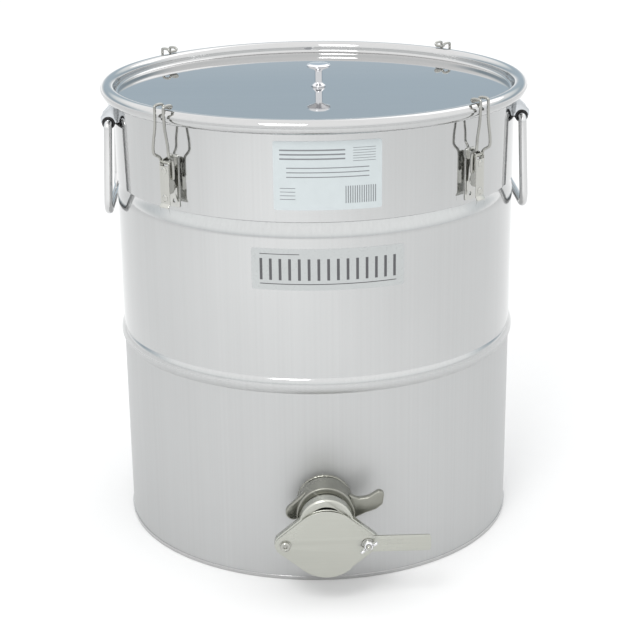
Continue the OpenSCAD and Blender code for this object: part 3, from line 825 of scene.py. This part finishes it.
def spigot():
    """The threaded stub that is welded into the drum, with its weld fillet."""
    low = DRUM_R - 5
    end = -edge("outlet_spigot", 1, False)
    pitch = 2.3
    tube = [(19, 0), (23.9, 0), (23.9, 7.6)]
    turns = int((end - low - 9) / pitch)
    for k in range(turns):
        z = 8 + k * pitch
        tube += [(23.85, z), (23.85, z + 0.5), (22.9, z + pitch / 2), (23.85, z + pitch - 0.4)]
    tube += [(23.4, end - low), (19.3, end - low), (19, end - low - 0.3)]
    bm = bmesh.new()
    turned_into(bm, tube, 96, gate_place(0, PIPE_Z, low))
    piece = finish_mesh("outlet_stub", bm)
    dress(piece, "screw", "tank", "drum_steel", "outlet_spigot")
    weld_bead()


def weld_bead():
    """The fillet of weld between the drum's wall and the stub, with its ripples."""
    bm = bmesh.new()
    count = 180
    path = []
    for k in range(count + 1):
        a = 2 * math.pi * k / count
        ripple = 0.18 * math.sin(36 * a)
        x = (24.6 + ripple) * math.cos(a)
        z = PIPE_Z + (24.6 + ripple) * math.sin(a)
        path.append(Vector((x, -math.sqrt(DRUM_R ** 2 - x * x) - 0.3, z)))
    sweep_into(bm, path, 1.7, 10, 0)
    piece = finish_mesh("stub_weld", bm, None, 60)
    dress(piece, "nut", "tank", "drum_steel")


def screw_head(name, x, depth, outline, recess, body, slot, node):
    """A turned fastener with a hexagon recess or a plain end."""
    bm = bmesh.new()
    turned_into(bm, outline, 48, gate_place(x, EAR_Z, depth))
    piece = finish_mesh(name, bm)
    if recess:
        key = bmesh.new()
        bmesh.ops.create_cone(key, segments=6, radius1=2.0, radius2=2.0, depth=6, cap_ends=True)
        top = max(z for r, z in outline)
        place = gate_place(x, EAR_Z, depth + top + 3 - recess)
        cut(piece, finish_mesh("key", key, place))
    dress(piece, "screw", body, slot, node)


def gate_fasteners():
    low = FLANGE_Y - FLANGE_T - 5
    head = -edge("pivot_screw", 1, False) - low
    shaft = head - 3.6
    pivot = rounded([(0, 0, 0), (2.45, 0, 0.4), (2.45, shaft + 1, 0), (4.6, shaft + 1, 0.2),
                     (4.6, head - 0.9, 0.6), (3.7, head, 0.5), (0, head, 0)], False)
    screw_head("blade_screw", -EAR_X, low, pivot, 1.8, "tank", "fastener_steel", "pivot_screw")
    dress_node("blade_washer", "screw")
    dress_node("clamp_washer", "screw")
    stud_low = -edge("clamp_stud", 1)
    stud_len = -edge("clamp_stud", 1, False) - stud_low
    stud = [(0, 0), (4.2, 0), (4.5, 0.3), (4.5, 2.7), (4.2, 3), (2.45, 3), (2.45, stud_len - 10)]
    for k in range(11):
        z = stud_len - 9.6 + 0.8 * k
        stud += [(2.45, z), (2.15, z + 0.4)]
    stud += [(2.1, stud_len - 0.4), (1.7, stud_len), (0, stud_len)]
    screw_head("clamp_bolt", EAR_X, stud_low, stud, 0, "tank", "fastener_steel", "clamp_stud")


def wing_nut():
    """A forged wing nut: a conical boss with two thin wings, tilted as it was left."""
    start = -edge("wing_nut", 1)
    bm = bmesh.new()
    boss = rounded([(2.6, 0, 0.2), (4.8, 0, 0.5), (4.5, 3.6, 0.8), (3.7, 5, 0.5), (2.6, 5, 0.2)])
    revolve_into(bm, boss, 40)
    for side in (-1, 1):
        wing = rounded([(side * 3.0, 0.7, 0.4), (side * 7.2, 1.8, 2), (side * 10.0, 5.2, 2.2),
                        (side * 8.4, 8.7, 2), (side * 5.0, 7.4, 2), (side * 3.0, 4.4, 0.5)])
        if side < 0:
            wing.reverse()
        stand = Matrix(((1, 0, 0, 0), (0, 0, -1, 0), (0, 1, 0, 0), (0, 0, 0, 1)))
        plate_into(bm, [wing], 2.2, 0.6, stand)
    bmesh.ops.rotate(bm, cent=(0, 0, 0), matrix=Matrix.Rotation(math.radians(33), 3, "Z"), verts=bm.verts)
    bmesh.ops.transform(bm, matrix=gate_place(EAR_X, EAR_Z, start), verts=bm.verts)
    piece = finish_mesh("wing_nut_forged", bm)
    dress(piece, "knob", "wing_nut", "fastener_steel", "wing_nut")


def gate():
    """The outlet and the gate that closes it."""
    spigot()
    dress_node("valve_gasket", "silicone")
    gate_body()
    blade()
    ring_nut()
    gate_fasteners()
    wing_nut()


# ---------------------------------------------------------------- labels
LABEL_AZ = 1.8


def on_wall(name, rectangles, lift, thickness, radius):
    """Thin film on the drum's wall: rectangles of (left, low, right, high) along the wall."""
    bm = bmesh.new()
    for left, low, right, high in rectangles:
        r = min(radius, (right - left) / 2.1, (high - low) / 2.1)
        outline = box_outline(left, low, right, high, r)
        plate_into(bm, [outline], thickness, thickness * 0.2, Matrix.Identity(4))
    widest = max(abs(x) for box in rectangles for x in (box[0], box[2]))
    step = 2.5
    for k in range(-int(widest / step), int(widest / step) + 1):
        parts = list(bm.verts) + list(bm.edges) + list(bm.faces)
        bmesh.ops.bisect_plane(bm, geom=parts, plane_co=(k * step, 0, 0), plane_no=(1, 0, 0), dist=1e-5)
    for v in bm.verts:
        out = DRUM_R + lift + thickness / 2 + v.co.z
        a = v.co.x / DRUM_R + math.radians(LABEL_AZ)
        v.co = Vector((out * math.sin(a), -out * math.cos(a), v.co.y))
    return finish_mesh(name, bm)


def label_size(node, half_angle):
    """Half the width, the lowest and the highest edge of a label, along the wall."""
    low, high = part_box(node)
    return DRUM_R * math.radians(half_angle), low.z / MM, high.z / MM


def bars(left, low, high, pitch, width, count):
    """Evenly spaced upright bars."""
    return [(left + pitch * k, low, left + pitch * k + width, high) for k in range(count)]


def rules(left, right, top, pitch, width, count):
    """Evenly spaced level rules, from the top down."""
    return [(left, top - pitch * k, right, top - pitch * k + width) for k in range(count)]


def front_print(half, low, high):
    """Generic marks of the front label: a block of slim bars between two rules."""
    marks = bars(-half + 8, low + 9.5, high - 9.5, 8.9, 2.6, 15)
    marks += rules(-half + 8, half - 8, low + 5.5, 1, 0.8, 1)
    marks += rules(-half + 8, -half + 45, high - 5.5, 1, 0.7, 1)
    return marks


def data_print(half, low, high):
    """Generic marks of the data label: rules of different lengths and a field of slim bars."""
    marks = rules(-half + 6, half - 34, high - 9, 4, 1.4, 3)
    marks += rules(half - 27, half - 6, high - 7, 2.4, 0.5, 6)
    marks += rules(-half + 12, half - 12, high - 25, 4.2, 0.9, 3)
    marks += rules(-half + 6, -half + 20, low + 20, 3.4, 0.6, 4)
    marks += bars(half - 34, low + 6, low + 22, 2.1, 0.9, 14)
    return marks


def label(node, name, half_angle, look, ink, marks):
    """A film label on the drum with its print."""
    half, low, high = label_size(node, half_angle)
    film_piece = on_wall(name + "_film", [(-half, low, half, high)], 0, 0.2, 2)
    dress(film_piece, look, "tank", "label_film", node)
    print_piece = on_wall(name + "_print", marks(half, low, high), 0.2, 0.03, 0.2)
    dress(print_piece, ink, "tank", "label_film")


def labels():
    """Two film labels with generic print."""
    label("front_label", "front", 20.6, "film", "ink", front_print)
    label("data_label", "data", 14.2, "paper", "pale_ink", data_print)


# ---------------------------------------------------------------- studio
def camera():
    """A long lens from a little left of the gate, looking down on the drum."""
    distance, height = 1.6102, 0.7630
    azimuth = math.radians(-1.6)
    pitch = math.radians(19.2)
    roll = -0.01182
    data = bpy.data.cameras.new("camera")
    data.sensor_width = 36
    data.lens = 92.27
    data.clip_start = 0.05
    data.clip_end = 60
    obj = bpy.data.objects.new("camera", data)
    obj.location = (distance * math.sin(azimuth), -distance * math.cos(azimuth), height)
    obj.rotation_mode = "XYZ"
    yaw = Matrix.Rotation(azimuth, 4, "Z")
    tilt = Matrix.Rotation(math.radians(90) - pitch, 4, "X")
    obj.rotation_euler = (yaw @ tilt @ Matrix.Rotation(roll, 4, "Z")).to_euler()
    bpy.context.scene.collection.objects.link(obj)
    bpy.context.scene.camera = obj


def softbox(name, place, target, size, power):
    """A soft light that faces a target."""
    data = bpy.data.lights.new(name, "AREA")
    data.shape = "RECTANGLE"
    data.size, data.size_y = size
    data.energy = power
    obj = bpy.data.objects.new(name, data)
    obj.location = place
    obj.rotation_euler = (Vector(target) - Vector(place)).to_track_quat("-Z", "Y").to_euler()
    bpy.context.scene.collection.objects.link(obj)


def floor_sheet(name, half, look):
    """A square floor that the object stands on."""
    mesh = bpy.data.meshes.new(name)
    corners = [(-half, -half, 0), (half, -half, 0), (half, half, 0), (-half, half, 0)]
    mesh.from_pydata(corners, [], [(0, 1, 2, 3)])
    mesh.materials.append(MATS[look])
    obj = bpy.data.objects.new(name, mesh)
    bpy.context.scene.collection.objects.link(obj)


def studio():
    """A pale floor, two soft lamps and the studio walls."""
    floor_sheet("studio_floor", 14, "floor")
    softbox("key", (-0.6, -1.7, 2.0), (-0.5, -1.2, 0), (0.8, 0.8), 21)
    softbox("fill", (1.6, 2.2, 3.0), (0, 0.6, 0), (2.2, 2.2), 12)
    sky()
    bpy.context.scene.view_settings.view_transform = "Standard"


def ramp_of(tree, source, stops):
    """A colour ramp node with (position, colour) stops, fed by a factor."""
    ramp = tree.nodes.new("ShaderNodeValToRGB")
    elements = ramp.color_ramp.elements
    while len(elements) < len(stops):
        elements.new(0.5)
    for element, (place, colour) in zip(elements, stops):
        element.position = place
        element.color = (*colour, 1)
    tree.links.new(source, ramp.inputs["Fac"])
    return ramp.outputs["Color"]


def sky():
    """Studio walls: white overhead and in front, cooler and dimmer low down behind the drum."""
    world = bpy.data.worlds.new("studio_walls")
    bpy.context.scene.world = world
    world.use_nodes = True
    tree = world.node_tree
    background = tree.nodes["Background"]
    split = tree.nodes.new("ShaderNodeSeparateXYZ")
    tree.links.new(tree.nodes.new("ShaderNodeTexCoord").outputs["Generated"], split.inputs["Vector"])
    white = (1.4, 1.4, 1.4)
    behind = ramp_of(tree, split.outputs["Z"], [
        (0.0, white), (0.09, (0.9, 0.94, 0.96)), (0.19, (0.50, 0.60, 0.68)), (0.27, (0.55, 0.65, 0.72)),
        (0.36, (1.0, 1.06, 1.08)), (0.5, white)])
    ahead = ramp_of(tree, split.outputs["Z"], [
        (0.0, (1.0, 1.02, 1.03)), (0.2, (1.3, 1.32, 1.32)), (0.5, white)])
    side = ramp_of(tree, split.outputs["Y"], [(0.05, (0, 0, 0)), (0.5, (1, 1, 1))])
    blend = tree.nodes.new("ShaderNodeMix")
    blend.data_type = "RGBA"
    tree.links.new(side, blend.inputs[0])
    tree.links.new(ahead, blend.inputs[6])
    tree.links.new(behind, blend.inputs[7])
    tree.links.new(blend.outputs[2], background.inputs["Color"])
    background.inputs["Strength"].default_value = 1.0


drum()
lid()
latches()
handles()
gate()
labels()
camera()
studio()
